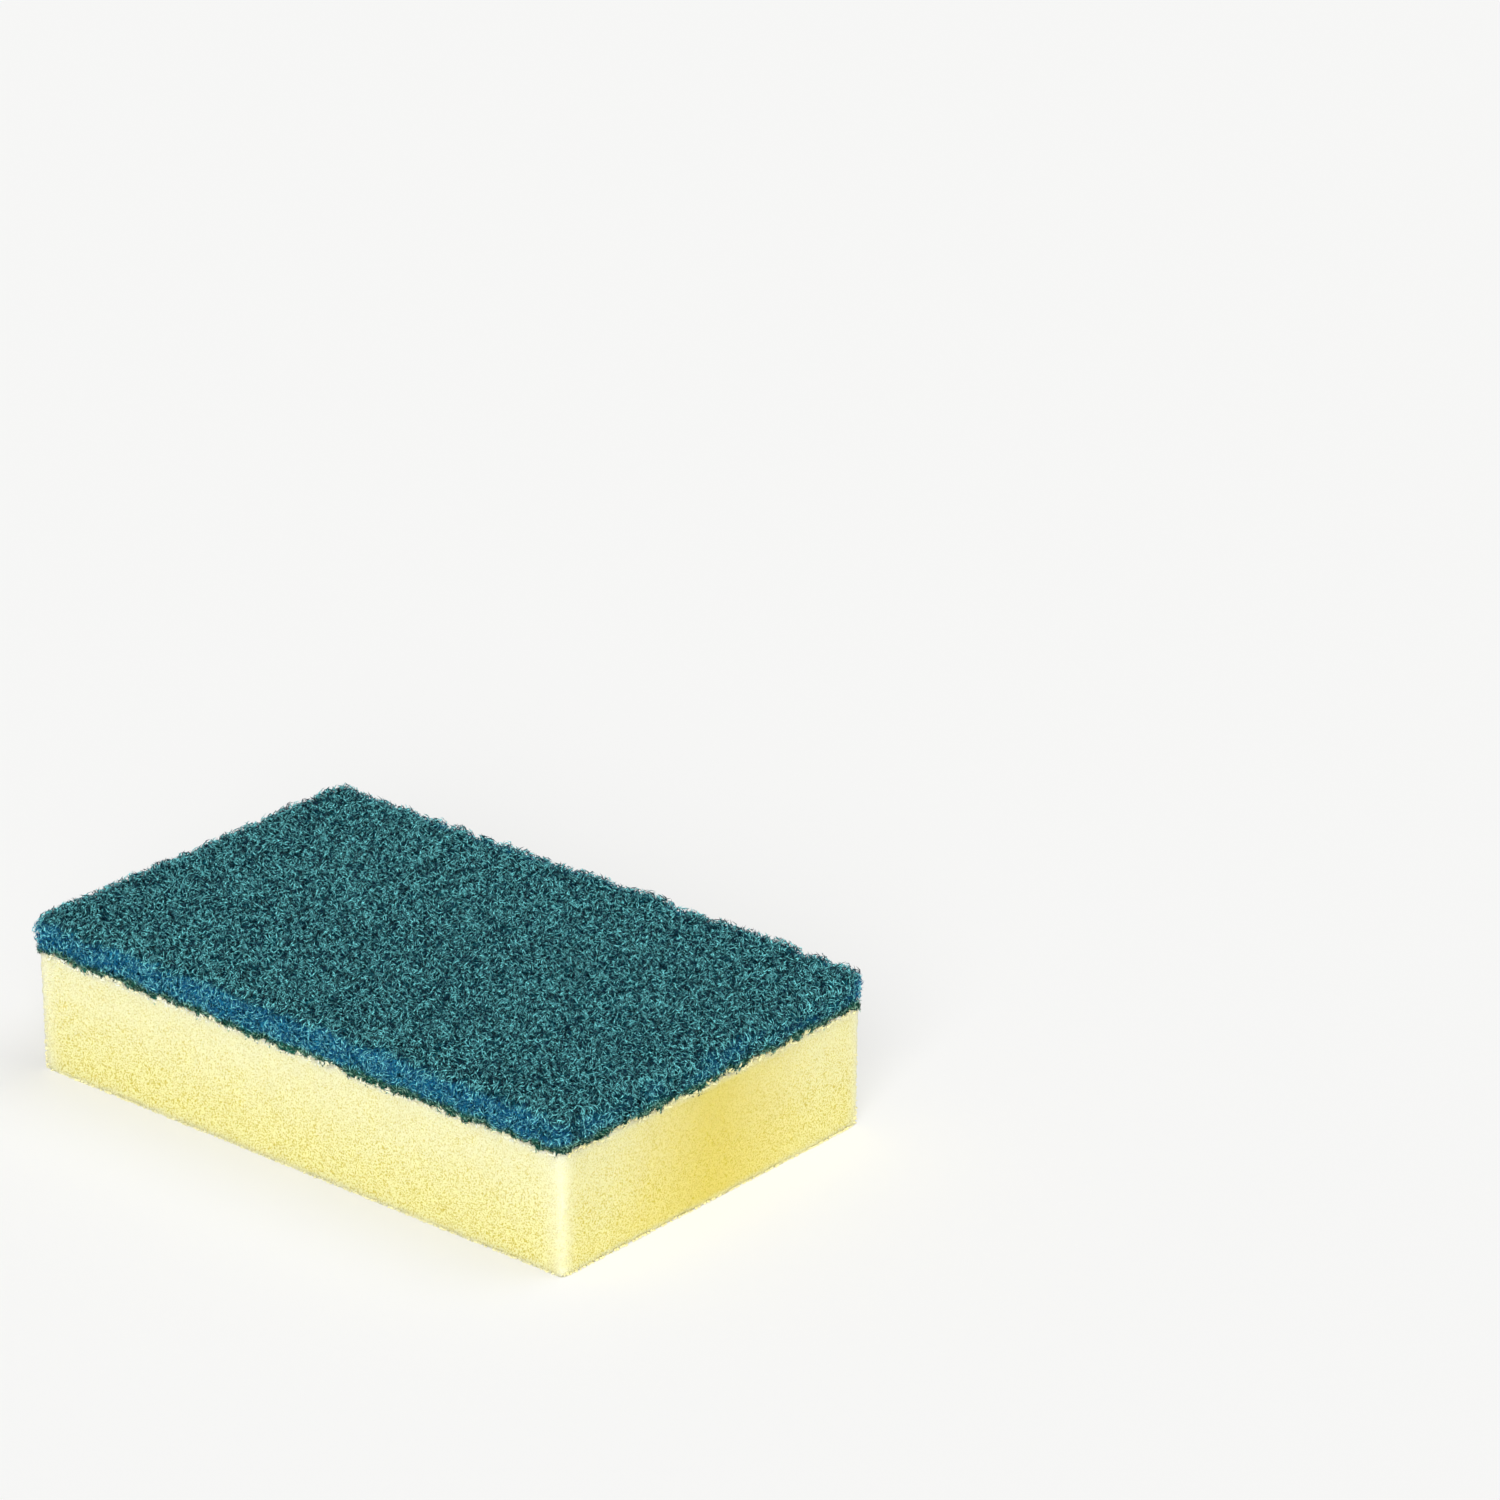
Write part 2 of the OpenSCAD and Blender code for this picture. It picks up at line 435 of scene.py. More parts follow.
@dataclass(frozen=True)
class BondedFibre:
    """Crimped nylon fibre sprayed with phenolic resin: the web of a scouring pad.

    Resin on the two faces is teal green. It doesn't reach the core, whose bare fibre is blue and
    shows on the cut edges, and the lowest fibres are dulled to olive by the glue. Fine grit in
    the resin scatters the light, so a fibre glints only faintly.
    """

    name: str = "resin_bonded_nylon_fibre"
    coat: str = "#8efafe"
    # The dark tones serve dark fibres as well as painted shade
    coat_dark: str = "#011c21"
    core: str = "#8cf6ff"
    core_dark: str = "#085c8c"
    glued: str = "#9cd0b4"
    glued_dark: str = "#0e4238"
    roughness: float = 0.38
    gloss: float = 0.08
    # Beads of resin: bumps, with a painted highlight on each
    bead_mm: float = 0.35
    bead_and_glint_range: tuple[float, float] = (0.35, 0.55)
    least_bead_and_glint: float = 0.45
    bead_depth_mm: float = 0.03
    drawn_mm: float = 0.0
    drawn_layers: int = 3
    drawn_line: tuple[float, float] = (0.1, 0.03)
    drawn_depth_mm: float = 0.15
    drawn_shift: tuple[float, float, float] = (0.031, 0.017, 0.023)

    def material(self) -> Material:
        """Builds the fibre's material, which reads the attributes that the pad's pieces carry.

        Returns:
            The new material.
        """
        material, tree = new_material(self.name)
        place = add_node(tree, "ShaderNodeTexCoord", output="Object")
        if self.drawn_mm:
            relief = self._drawn_fibres(tree, place)
            depth_mm = self.drawn_depth_mm
        else:
            relief = self._resin_beads_and_glints(tree, place)
            depth_mm = self.bead_depth_mm
        tint = add_node(tree, "ShaderNodeAttribute", output="Fac", attribute_name="tint")
        # The tint paints light and shade over each fibre's own tone: shade low in the pad and in the web's
        # gaps, and highlights on the beads
        tint = add_node(tree, "ShaderNodeMath", {0: relief, 1: tint}, operation="MULTIPLY", use_clamp=True)
        colour = None
        for attribute, dark, light in (
            ("", self.coat_dark, self.coat),
            ("core", self.core_dark, self.core),
            ("glued", self.glued_dark, self.glued),
        ):
            tone = add_node(
                tree, "ShaderNodeMix", {0: tint, 6: linear_rgba(dark), 7: linear_rgba(light)}, **COLOUR_MIX
            )
            if attribute:
                share = add_node(tree, "ShaderNodeAttribute", output="Fac", attribute_name=attribute)
                tone = add_node(tree, "ShaderNodeMix", {0: share, 6: colour, 7: tone}, **COLOUR_MIX)
            colour = tone
        bump = add_node(
            tree, "ShaderNodeBump", {"Strength": 0.6, "Distance": depth_mm * MM, "Height": relief}
        )
        shader = add_node(
            tree,
            "ShaderNodeBsdfPrincipled",
            {
                "Base Color": colour,
                "Roughness": self.roughness,
                "IOR": 1.53,
                "Specular IOR Level": self.gloss,
                "Normal": bump,
            },
        )
        add_node(tree, "ShaderNodeOutputMaterial", {"Surface": shader})
        return material

    def _resin_beads_and_glints(self, tree: Tree, place: Socket) -> Socket:
        """Draws beads of resin along a fibre as bumps, and paints a highlight on each as a short bright
        dash.

        A bead is about twice as long as a fibre is thick.

        Args:
            tree: The node tree.
            place: The socket of Object coordinates.

        Returns:
            The socket of the beads and their painted highlight, from the least to 1.
        """
        beads = add_node(
            tree,
            "ShaderNodeTexNoise",
            {"Vector": place, "Scale": 1 / (self.bead_mm * MM), "Detail": 1.0},
            output="Fac",
        )
        bright = add_node(
            tree,
            "ShaderNodeMapRange",
            {"Value": beads, "From Min": self.bead_and_glint_range[0], "From Max": self.bead_and_glint_range[1]},
            interpolation_type="SMOOTHSTEP",
        )
        return add_node(
            tree,
            "ShaderNodeMath",
            {0: bright, 1: 1 - self.least_bead_and_glint, 2: self.least_bead_and_glint},
            operation="MULTIPLY_ADD",
        )

    def _drawn_fibres(self, tree: Tree, place: Socket) -> Socket:
        """Draws the fibres that lie too deep in the web to be built one by one.

        Each is the straight line between two cells of a Voronoi pattern, at most 0.1 mm wide
        as the real ones are, and the layers of them cross one another.

        Args:
            tree: The node tree.
            place: The socket of Object coordinates.

        Returns:
            The socket of the fibres: 1 on a fibre and 0 between them.
        """
        found = None
        for layer in range(self.drawn_layers):
            shift = tuple(part * layer for part in self.drawn_shift)
            moved = add_node(tree, "ShaderNodeVectorMath", {0: place, 1: shift})
            off_line = add_node(
                tree,
                "ShaderNodeTexVoronoi",
                {"Vector": moved, "Scale": 1 / (self.drawn_mm * MM)},
                feature="DISTANCE_TO_EDGE",
                output="Distance",
            )
            line = add_node(
                tree,
                "ShaderNodeMapRange",
                {"Value": off_line, "From Min": self.drawn_line[0], "From Max": self.drawn_line[1]},
                interpolation_type="SMOOTHSTEP",
            )
            if found is None:
                found = line
            else:
                found = add_node(tree, "ShaderNodeMath", {0: found, 1: line}, operation="MAXIMUM")
        return found


@dataclass(frozen=True)
class DriedGlue:
    """Water-based contact glue, brushed on and dried to a dull, slightly stringy film.

    Only its rim could be seen, as a dull olive line, and it has a faint gloss where it is thick.
    """

    film: str = "#6d7040"
    thin: str = "#b9b36a"
    blotch_mm: float = 4.0
    relief_mm: float = 0.1

    def material(self) -> Material:
        """Builds the glue's material.

        Returns:
            The new material.
        """
        material, tree = new_material("dried_contact_glue")
        place = add_node(tree, "ShaderNodeTexCoord", output="Object")
        blotches = add_node(
            tree,
            "ShaderNodeTexNoise",
            {"Vector": place, "Scale": 1 / (self.blotch_mm * MM), "Detail": 5.0},
            output="Fac",
        )
        colour = add_node(
            tree,
            "ShaderNodeMix",
            {0: blotches, 6: linear_rgba(self.film), 7: linear_rgba(self.thin)},
            **COLOUR_MIX,
        )
        bump = add_node(
            tree, "ShaderNodeBump", {"Strength": 0.5, "Distance": self.relief_mm * MM, "Height": blotches}
        )
        shader = add_node(
            tree,
            "ShaderNodeBsdfPrincipled",
            {"Base Color": colour, "Roughness": 0.55, "IOR": 1.47, "Normal": bump},
        )
        add_node(tree, "ShaderNodeOutputMaterial", {"Surface": shader})
        return material


@dataclass(frozen=True)
class StudioPaper:
    """Matt white background paper: one even pale tone that keeps a soft shadow.

    Seen straight from the camera, half of its tone is plain, so that the shadow stays faint.
    """

    tone: str = "#fdfdfc"
    seen_tone: str = "#f6f6f5"
    evenness: float = 0.5

    def material(self) -> Material:
        """Builds the paper's material.

        Returns:
            The new material.
        """
        material, tree = new_material("matt_background_paper")
        shader = add_node(
            tree,
            "ShaderNodeBsdfPrincipled",
            {"Base Color": linear_rgba(self.tone), "Roughness": 0.9, "Specular IOR Level": 0.0},
        )
        plain = add_node(tree, "ShaderNodeEmission", {"Color": linear_rgba(self.seen_tone)})
        seen = add_node(tree, "ShaderNodeLightPath", output="Is Camera Ray")
        share = add_node(tree, "ShaderNodeMath", {0: seen, 1: self.evenness}, operation="MULTIPLY")
        both = add_node(tree, "ShaderNodeMixShader", {0: share, 1: shader, 2: plain})
        add_node(tree, "ShaderNodeOutputMaterial", {"Surface": both})
        return material


def boxed_grid(box: Box, cell: float, glued: GluedSide, border: float) -> BMesh:
    """Makes a box of small square faces, with its faces pointing outwards.

    Args:
        box: The box's place and size.
        cell: The side of one square, in metres.
        glued: The side that nobody sees, which is one flat face inside its border.
        border: The width of that border.

    Returns:
        A new bmesh, which the caller frees.
    """
    made = bmesh.new()
    counts = [max(1, round(side / cell)) for side in box.size]
    for axis in range(3):
        across = ((axis + 1) % 3, (axis + 2) % 3)
        for sign in (-1, 1):
            centre = box.middle.copy()
            centre[axis] += sign * box.size[axis] / 2
            turned = Matrix.Identity(4)
            reaches = (box.size[across[0]], box.size[across[1]], 1.0)
            for column, (along, reach) in enumerate(zip((*across, axis), reaches)):
                for row in range(3):
                    turned[row][column] = reach if row == along else 0.0
            turned.translation = centre
            bmesh.ops.create_grid(
                made, x_segments=counts[across[0]], y_segments=counts[across[1]], size=0.5, matrix=turned
            )
    bmesh.ops.remove_doubles(made, verts=made.verts[:], dist=cell / 50)
    level = box.high.z if glued is GluedSide.TOP else box.low.z
    unseen = []
    for face in made.faces:
        place = face.calc_center_median()
        inside = all(box.low[k] + border < place[k] < box.high[k] - border for k in (0, 1))
        if inside and abs(place.z - level) < cell / 50:
            unseen.append(face)
    bmesh.ops.delete(made, geom=unseen, context="FACES")
    rim = [edge for edge in made.edges if edge.is_boundary]
    bmesh.ops.contextual_create(made, geom=rim)
    bmesh.ops.recalc_face_normals(made, faces=made.faces[:])
    return made


def round_edges(made: BMesh, box: Box, radius: float, plan_radius: float) -> None:
    """Rounds a boxed grid: all its edges by one radius, and its upright ones by another.

    Args:
        made: The grid to change.
        box: The box that it fills.
        radius: The radius of every edge.
        plan_radius: The radius of the four corners as seen from above.
    """
    middle = box.middle
    half = box.size / 2
    inner = half - Vector((radius, radius, radius))
    for vert in made.verts:
        offset = vert.co - middle
        core = Vector([max(-inner[i], min(inner[i], offset[i])) for i in range(3)])
        out = offset - core
        if out.length > 1e-9:
            core = core + out.normalized() * radius
        else:
            core = offset
        corner = [max(0.0, abs(core[i]) - (half[i] - plan_radius)) / plan_radius for i in (0, 1)]
        for i in (0, 1):
            pull = plan_radius * corner[i] * (1 - math.sqrt(1 - corner[1 - i] ** 2 / 2))
            core[i] -= math.copysign(pull, core[i])
        vert.co = middle + core


def to_object(made: BMesh, name: str, smooth: bool = True) -> Object:
    """Turns a bmesh into an object at the origin, and frees it.

    Args:
        made: The bmesh.
        name: The name of the piece.
        smooth: Whether its faces are shaded smooth.

    Returns:
        The new object.
    """
    mesh = bpy.data.meshes.new(name)
    made.to_mesh(mesh)
    made.free()
    mesh.polygons.foreach_set("use_smooth", [smooth] * len(mesh.polygons))
    piece = bpy.data.objects.new(name, mesh)
    bpy.context.scene.collection.objects.link(piece)
    return piece


def set_attribute(mesh: Mesh, name: str, values: np.ndarray) -> None:
    """Writes one number for each vertex as an attribute that materials can read.

    Args:
        mesh: The mesh.
        name: The attribute's name.
        values: The numbers, in the order of the vertices.
    """
    attribute = mesh.attributes.new(name, "FLOAT", "POINT")
    attribute.data.foreach_set("value", values.astype(np.float32))


def vertex_places(mesh: Mesh) -> np.ndarray:
    """Reads the places of a mesh's vertices.

    Args:
        mesh: The mesh.

    Returns:
        One row of x, y and z for each vertex.
    """
    places = np.empty(len(mesh.vertices) * 3, np.float32)
    mesh.vertices.foreach_get("co", places)
    return places.reshape(-1, 3)


@dataclass
class StrandSet:
    """Short strands that are swept with one small triangle and become one mesh."""

    name: str
    weld: float = 0.0005 * MM
    lines: list[tuple[Sequence[Vector], Sequence[float]]] = field(default_factory=list)
    tints: list[float] = field(default_factory=list)

    def add(self, points: Sequence[Vector], radii: Sequence[float], tints: Sequence[float]) -> None:
        """Adds one strand, and closes each end with a short tip.

        Args:
            points: The points along it.
            radii: Its half thickness at each of them, in metres.
            tints: Its tone at each of them, from 0 to 1.
        """
        head = points[0] + (points[0] - points[1]).normalized() * radii[0]
        tail = points[-1] + (points[-1] - points[-2]).normalized() * radii[-1]
        self.lines.append(([head, *points, tail], [0.0, *radii, 0.0]))
        self.tints.extend([tints[0], *tints, tints[-1]])

    def add_dash(self, points: Sequence[Vector], radius: float, tints: Sequence[float]) -> None:
        """Adds the seen part of one fibre, which narrows to nothing where it dives into the web.

        Args:
            points: Its start, middle and end.
            radius: Its half thickness in the middle, in metres.
            tints: Its tone at each of them, from 0 to 1.
        """
        self.lines.append((points, [0.0, radius, 0.0]))
        self.tints.extend(tints)

    def sweep(self) -> Object:
        """Sweeps all the strands with the triangle, and merges the points of their tips.

        Returns:
            All the strands as one object, with a tint attribute.
        """
        section = self._section()
        curve = bpy.data.curves.new(self.name, "CURVE")
        curve.dimensions = "3D"
        curve.bevel_mode = "OBJECT"
        curve.bevel_object = section
        for points, radii in self.lines:
            spline = curve.splines.new("POLY")
            spline.points.add(len(points) - 1)
            spline.points.foreach_set("co", [c for p in points for c in (*p, 1.0)])
            spline.points.foreach_set("radius", list(radii))
        holder = bpy.data.objects.new(self.name + "_lines", curve)
        bpy.context.scene.collection.objects.link(holder)
        bpy.context.view_layer.update()
        graph = bpy.context.evaluated_depsgraph_get()
        mesh = bpy.data.meshes.new_from_object(holder.evaluated_get(graph))
        bpy.data.objects.remove(holder)
        bpy.data.curves.remove(curve)
        bpy.data.objects.remove(section)
        if len(self.tints) * 3 != len(mesh.vertices):
            raise ValueError(f"{self.name}: the sweep has {len(mesh.vertices)} points")
        set_attribute(mesh, "tint", np.repeat(self.tints, 3))
        made = bmesh.new()
        made.from_mesh(mesh)
        bpy.data.meshes.remove(mesh)
        bmesh.ops.remove_doubles(made, verts=made.verts[:], dist=self.weld)
        bmesh.ops.recalc_face_normals(made, faces=made.faces[:])
        return to_object(made, self.name)

    @staticmethod
    def _section() -> Object:
        """Draws the triangle that a strand is swept with, of radius 1.

        Returns:
            The object of the triangle, which the caller removes.
        """
        outline = bpy.data.curves.new("strand_section", "CURVE")
        spline = outline.splines.new("POLY")
        spline.points.add(2)
        spline.use_cyclic_u = True
        for k, point in enumerate(spline.points):
            turn = 2 * math.pi * k / 3
            point.co = (math.cos(turn), math.sin(turn), 0, 1)
        section = bpy.data.objects.new("strand_section", outline)
        bpy.context.scene.collection.objects.link(section)
        return section


@dataclass
class FoamBlock:
    """The block of foam: a finely pitted body, and torn cell walls that stand up from it.

    Its lip is the top edge, where the torn foam stands up to the ragged seam. Its walls flare
    a little towards the top, as the block sits on its foot.
    """

    box: Box
    finish: Material
    torn_finish: Material
    corner_radius: float = 1.0 * MM
    edge_radius: float = 0.12 * MM
    cell: float = 0.55 * MM
    relief: NoiseLayers = (
        (0.95 * MM, 0.16 * MM, 0),
        (0.5225 * MM, 0.096 * MM, 1),
        (7.0 * MM, 0.12 * MM, 2),
    )
    sink: float = 0.064 * MM
    flare: float = 0.3 * MM
    lip_depth: float = 0.9 * MM
    lip_inset: tuple[float, float] = (0.9 * MM, 0.3 * MM)
    lip_lift: float = 0.1 * MM
    lip_spread: float = 0.12 * MM
    # The painted glow at the lip, the corners and the foot
    lip_glow: float = 0.7
    corner_glow: float = 0.8
    corner_glow_reach: float = 4.5 * MM
    corner_glow_squash: float = 1.4
    corner_glow_power: float = 1.3
    foot_glow: float = 0.5
    foot_glow_reach: float = 1.2 * MM
    # Painted shade on the end faces
    end_shade_range: tuple[float, float] = (0.22, 0.92)
    end_shade_range_span: tuple[float, float] = (10.0 * MM, 32.0 * MM)
    end_depth: float = 1.2 * MM
    teeth_per_mm: float = 4.5
    tooth_length: float = 0.65 * MM
    tooth_radius: float = 0.13 * MM
    tooth_taper: tuple[float, float, float] = (1.3, 1.0, 0.35)
    tooth_root_mm: float = 0.12
    tooth_lean: float = 0.45
    tooth_curl: float = 0.25
    lip_teeth_band: float = 0.5 * MM
    seam_highlight_band: float = 0.3 * MM
    weak_highlight: float = 0.3
    seed: int = 11

    def build(self) -> None:
        """Builds the block and its teeth, and dresses both."""
        dress([self._body(), self._teeth()], "foam_block")

    def _body(self) -> Object:
        """Builds the block itself, with crisp edges and a grainy cut surface.

        Returns:
            The block, with the attributes that its finish reads.
        """
        top = self.box.high
        made = boxed_grid(self.box, self.cell, GluedSide.TOP, GLUED_BORDER)
        round_edges(made, self.box, self.edge_radius, self.corner_radius)
        made.normal_update()
        normals = [vert.normal.copy() for vert in made.verts]
        lips = []
        for vert, normal in zip(made.verts, normals):
            point = vert.co.copy()
            vert.co = point + normal * (summed_noise(point, self.relief) - self.sink)
            vert.co += Vector((normal.x, normal.y, 0.0)) * (self.flare * point.z / top.z)
            inset = min(top.x - abs(point.x), top.y - abs(point.y))
            lip = smoothstep(top.z - self.lip_depth, top.z, point.z) * smoothstep(*self.lip_inset, inset)
            torn = max(0.0, seam_rise(point.x, point.y, top.z) + self.lip_lift)
            vert.co.z = min(top.z, max(self.box.low.z, vert.co.z))
            vert.co += lip * Vector((self.lip_spread * normal.x, self.lip_spread * normal.y, torn))
            lips.append(lip)
        piece = to_object(made, "foam_block_cells")
        self._mark_painted_light(piece.data, np.array(lips))
        piece.data.materials.append(self.finish)
        return piece

    def _mark_painted_light(self, mesh: Mesh, lips: np.ndarray) -> None:
        """Writes the painted glow at the corners, the foot and the lip, and the painted shade on the end
        faces.

        Args:
            mesh: The block's mesh.
            lips: How far each vertex belongs to the lip, from 0 to 1.
        """
        places = vertex_places(mesh)
        from_end, from_side = (np.array(self.box.high[:2]) - np.abs(places[:, :2])).T
        # The painted glow: pale near the corners, the foot and the lip
        from_corner = np.hypot(from_end, self.corner_glow_squash * from_side)
        near_corner = np.clip(1 - from_corner / self.corner_glow_reach, 0, 1) ** self.corner_glow_power
        near_foot = np.clip(1 - places[:, 2] / self.foot_glow_reach, 0, 1)
        glows = [self.corner_glow * near_corner, self.foot_glow * near_foot, self.lip_glow * lips]
        set_attribute(mesh, "thin", np.maximum.reduce(glows))
        # Painted shade on the end faces, more of it further from the corner
        shade_in = np.interp(from_side, self.end_shade_range_span, self.end_shade_range)
        set_attribute(mesh, "end_shade", shade_in * np.clip(1.3 - from_end / self.end_depth, 0, 1))

    def _teeth(self) -> Object:
        """Builds the torn walls of cut cells, which fringe the edges.

        Returns:
            All of them as one piece.
        """
        top = self.box.high.z
        draw = np.random.default_rng(self.seed)
        strands = StrandSet("foam_cell_walls")
        for point, normal in self._places(draw):
            lean = Vector(draw.normal(0, self.tooth_lean, 3))
            way = (normal + lean).normalized()
            reach = self.tooth_length * draw.uniform(0.5, 1.3)
            if point.z > top - self.lip_teeth_band:
                torn = seam_rise(point.x, point.y, top)
                point.z += max(0.0, torn)
                reach *= 0.3 + 0.7 * smoothstep(-0.5 * MM, 0.4 * MM, torn)
            else:
                reach *= 0.5
            start = point - normal * self.tooth_root_mm * MM
            side = Vector(draw.normal(0, self.tooth_curl, 3)) * reach
            radius = self.tooth_radius * draw.uniform(0.7, 1.4)
            points = [start, start + (way * reach) / 2 + side * 0.4, start + way * reach]
            floor = self.box.low.z + 1.4 * radius
            for place in points:
                place.z = max(floor, place.z)
            # A painted highlight on the teeth at the seam, a weak one elsewhere, and less of it on the
            # short sides as painted shade
            seam_highlight = draw.uniform(0.4, 1.0) if point.z > top - self.seam_highlight_band else self.weak_highlight
            if abs(normal.x) > abs(normal.y):
                seam_highlight *= self.weak_highlight
            strands.add(points, [radius * part for part in self.tooth_taper], [seam_highlight] * 3)
        piece = strands.sweep()
        piece.data.materials.append(self.torn_finish)
        return piece

    def _places(self, draw: np.random.Generator) -> list[tuple[Vector, Vector]]:
        """Picks where teeth grow: along the edges of the foot and the lip, and up the corners.

        Args:
            draw: The random generator.

        Returns:
            Pairs of a point on the block and the way that a tooth there stands.
        """
        low, high = self.box.low, self.box.high
        size = self.box.size
        found = []
        for axis, other in ((0, 1), (1, 0)):
            for sign in (-1, 1):
                normal = Vector((0, 0, 0))
                normal[other] = sign
                wall = high[other] if sign > 0 else low[other]
                for level, inwards, tilt in ((low.z, 1, 0.1), (high.z, -1, 1.8)):
                    for _ in range(int(size[axis] / MM * self.teeth_per_mm)):
                        point = Vector((0, 0, level))
                        point[axis] = draw.uniform(low[axis] + MM, high[axis] - MM)
                        point[other] = wall + sign * draw.uniform(-0.1, 0.2) * MM
                        point[other] += sign * self.flare * level / high.z
                        point.z += inwards * draw.uniform(0.0, 0.2) * MM
                        found.append((point, (normal + Vector((0, 0, tilt))).normalized()))
        for sx in (-1, 1):
            for sy in (-1, 1):
                for _ in range(int(size.z / MM * self.teeth_per_mm * 2.0)):
                    turn = draw.uniform(0, math.pi / 2)
                    out = Vector((sx * math.cos(turn), sy * math.sin(turn), 0))
                    centre = Vector((
                        sx * (size.x / 2 - self.corner_radius),
                        sy * (size.y / 2 - self.corner_radius),
                        draw.uniform(low.z, high.z),
                    ))
                    found.append((centre + out * self.corner_radius, out))
        return found


@dataclass(frozen=True)
class FibreLot:
    """The fibres that make one piece, and the third of the pad's face that they start on."""

    name: str
    zone: PadZone
    count: int
    third: int = 0


FIBRE_LOTS = (
    FibreLot("pad_face_fibres_left", PadZone.FACE, 25000, 0),
    FibreLot("pad_face_fibres_middle", PadZone.FACE, 25000, 1),
    FibreLot("pad_face_fibres_right", PadZone.FACE, 25000, 2),
    FibreLot("pad_edge_fibres", PadZone.CUT_EDGE, 22000),
    FibreLot("pad_foot_fibres", PadZone.FOOT, 4500),
)


@dataclass
class ScouringPad:
    """The scouring pad: a lofty web as its body, and the fibres that are seen one by one."""

    box: Box
    web_finish: Material
    fibre_finish: Material
    cell: float = 0.42 * MM
    fibre_layer: float = 0.8 * MM
    mean_level: float = 26.3 * MM
    web_inset: float = 0.6 * MM
    web_drop: float = 0.25 * MM
    overhang: float = 0.15 * MM
    roll_radius: float = 0.7 * MM
    corner_radius: float = 1.3 * MM
    foot_height: float = 1.6 * MM
    rim: tuple[float, float] = (3.5 * MM, 0.5 * MM)
    swell: float = 0.28 * MM
    swell_pitch: float = 9.0 * MM
    bundle: float = 0.36 * MM
    bundle_pitch: float = 1.5 * MM
    bundle_level: float = 0.45
    bundle_shade: tuple[float, float] = (0.95, 0.1)
    ragged: float = 0.85 * MM
    tuft_pitch: float = 2.4 * MM
    tuck: float = 0.2 * MM
    clumps: NoiseLayers = ((7.0 * MM, 0.6, 8), (2.0 * MM, 0.4, 9), (0.6 * MM, 0.5, 11))
    hues: NoiseLayers = ((0.8 * MM, 0.2, 13),)
    smeared: float = 0.4
    fibre_radius: float = 0.09 * MM
    fibre_tone: tuple[float, float] = (0.2, 0.92)
    fibre_tone_power: float = 1.1
    step: float = 0.5 * MM
    crimp: float = 0.18
    lean: float = 0.5
    bowed_share: float = 0.3
    stray_share: float = 0.1
    seed: int = 5

    def build(self) -> None:
        """Builds the web and then each lot of fibres on it, and dresses them."""
        top = self.box.high.z - self.mean_level + self.fibre_layer
        inner = self.box.shrunk(self.web_inset - self.overhang, top, -self.web_drop)
        shape = self._shape(inner)
        tree = BVHTree.FromBMesh(shape)
        pieces = [self._body(shape, inner)]
        for k, lot in enumerate(FIBRE_LOTS):
            pieces.append(self._fibres(lot, tree, self.seed + k))
        dress(pieces, "scouring_pad")

    def _shape(self, inner: Box) -> BMesh:
        """Builds the pad's shape that the seen fibres lie on: its swells and its uneven border.

        Args:
            inner: The box of the web below the seen fibres.

        Returns:
            A new bmesh.
        """
        made = boxed_grid(inner, self.cell, GluedSide.BOTTOM, GLUED_BORDER)
        round_edges(made, inner, self.roll_radius, self.corner_radius)
        self._square_foot(made, inner)
        made.normal_update()
        normals = [vert.normal.copy() for vert in made.verts]
        for vert, normal in zip(made.verts, normals):
            point = vert.co.copy()
            up = max(0.0, normal.z)
            inset = min(inner.high.x - abs(point.x), inner.high.y - abs(point.y))
            border = 1 - up + up * smoothstep(*self.rim, inset)
            foot = smoothstep(inner.low.z + self.foot_height, inner.low.z, point.z)
            rise = up * self.swell * scaled_noise(point, self.swell_pitch, 3)
            rise += border * (1 - 0.6 * foot) * self.ragged * scaled_noise(point, self.tuft_pitch, 6)
            rise -= (1 - up) * foot * self.tuck
            vert.co = point + Vector((normal.x, normal.y, up)) * rise
        made.normal_update()
        return made

    def _body(self, made: BMesh, inner: Box) -> Object:
        """Builds the web itself: the shape with bundles of fibre, painted in shade where they leave it
        low, and a foot that hangs unevenly.

        Args:
            made: The pad's shape, which is changed and freed.
            inner: The box of the web.

        Returns:
            The web as one piece.
        """
        bundles = ((self.bundle_pitch, 4), (self.bundle_pitch / 2, 5))
        normals = [vert.normal.copy() for vert in made.verts]
        tints = []
        for vert, normal in zip(made.verts, normals):
            point = vert.co.copy()
            inset = min(inner.high.x - abs(point.x), inner.high.y - abs(point.y))
            foot = smoothstep(inner.low.z + self.foot_height, inner.low.z, point.z)
            hang = foot * smoothstep(2 * MM, MM, inset) * seam_rise(point.x, point.y, inner.low.z)
            lump = sum(abs(scaled_noise(point, pitch, layer)) for pitch, layer in bundles)
            rise = self.bundle * (self.bundle_level - lump)
            vert.co = point + Vector((normal.x, normal.y, max(0.0, normal.z))) * rise
            vert.co += Vector((normal.x, normal.y, 0.0)) * max(0.0, -hang) * 0.3
            vert.co.z += hang
            # Painted shade: the web is darker where the bundles leave it low
            tints.append(smoothstep(*self.bundle_shade, lump))
        piece = to_object(made, "scouring_pad_web")
        set_attribute(piece.data, "tint", np.array(tints))
        self._mark_layers(piece.data)
        piece.data.materials.append(self.web_finish)
        return piece

